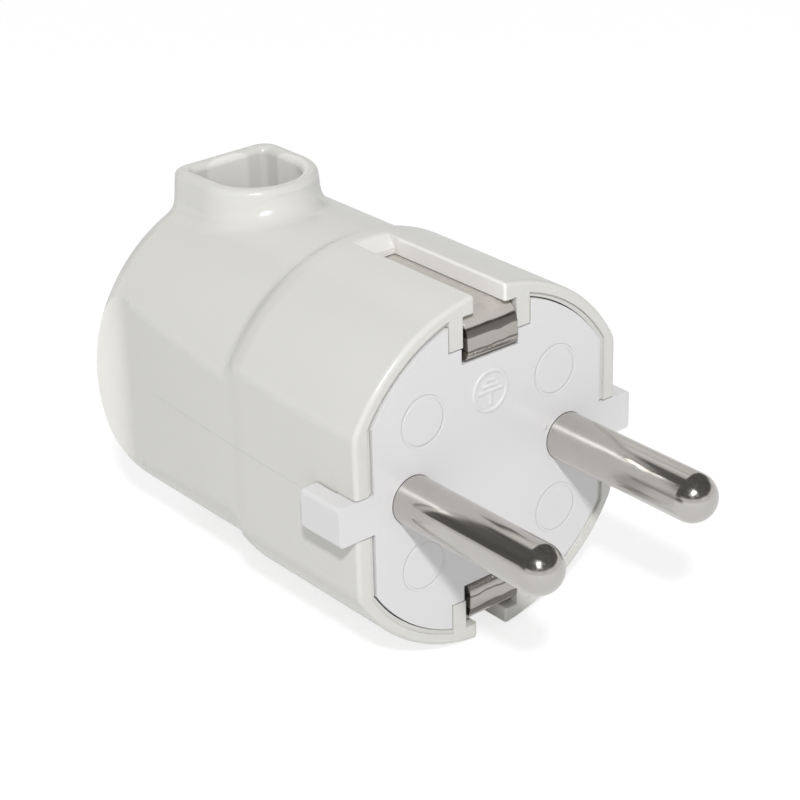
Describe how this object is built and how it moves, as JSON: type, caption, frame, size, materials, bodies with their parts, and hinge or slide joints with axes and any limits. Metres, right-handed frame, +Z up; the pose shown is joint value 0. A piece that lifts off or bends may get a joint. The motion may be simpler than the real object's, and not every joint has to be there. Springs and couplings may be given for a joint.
{
  "type": "grounded plug",
  "caption": "Angled rewirable mains plug with round pins, earth contacts in slots above and below, and a cable spout at right angles to the pins.",
  "frame": {"origin": "on the front face of the pin carrier, midway between the pins", "axes": "-Y the way the pins point, +Z up towards the cable spout, +X to the right seen from the pins' side"},
  "size_m": [0.036, 0.0613, 0.0379],
  "materials": {
    "housing_plastic": "glossy moulded thermoplastic, warm grey white",
    "carrier_plastic": "satin moulded thermoplastic, cool white",
    "inner_plastic": "matt moulded thermoplastic, white",
    "pin_plating": "polished nickel plating on brass",
    "contact_plating": "nickel plating on spring strip",
    "screw_steel": "zinc plated steel"
  },
  "bodies": {
    "root": {"bridge_screw_1": "screw_steel", "bridge_screw_2": "screw_steel", "bridge_screw_3": "screw_steel", "bridge_screw_4": "screw_steel", "contact_bridge": "inner_plastic", "cord_clamp": "inner_plastic", "cover_nut": "screw_steel", "cover_screw": "screw_steel", "earth_bow": "contact_plating", "earth_nut": "screw_steel", "earth_screw": "screw_steel", "earth_washer": "screw_steel", "housing": "housing_plastic", "left_clamp_screw": "screw_steel", "left_pin": "pin_plating", "left_terminal_screw": "screw_steel", "pin_carrier": "carrier_plastic", "right_clamp_screw": "screw_steel", "right_pin": "pin_plating", "right_terminal_screw": "screw_steel"}
  },
  "joints": []
}
